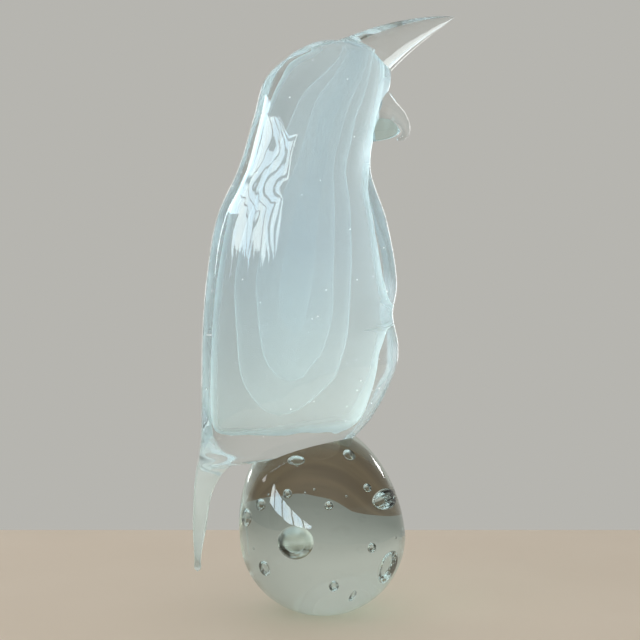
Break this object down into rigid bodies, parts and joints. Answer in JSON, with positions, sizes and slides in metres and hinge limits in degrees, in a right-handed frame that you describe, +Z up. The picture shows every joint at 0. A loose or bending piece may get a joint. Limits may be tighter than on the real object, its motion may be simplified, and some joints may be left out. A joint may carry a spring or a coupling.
{
  "type": "glass cockatoo figurine",
  "caption": "Standing cockatoo of layered opal glass in a clear casing, with a swept crest and a hooked beak, fused to a clear glass ball with air bubbles.",
  "frame": {"origin": "centre of the flat foot ground into the bottom of the ball, which rests on the table", "axes": "+Z up, +X the way the bird faces, +Y its left side"},
  "size_m": [0.1531, 0.097, 0.3467],
  "materials": {
    "clear_glass": "clear polished glass with a faint grey-green tint",
    "opal_glass": "milky pale blue opal glass",
    "green_glass": "clear glass with a sea green tint"
  },
  "bodies": {
    "root": {"clear_casing": "clear_glass", "opal_outer_gather": "opal_glass", "opal_second_gather": "opal_glass", "opal_third_gather": "opal_glass", "opal_heart": "opal_glass", "crest": "clear_glass", "upper_beak": "clear_glass", "lower_beak": "green_glass", "ball_pricked_gather": "clear_glass", "ball_outer_gather": "clear_glass"}
  },
  "joints": []
}
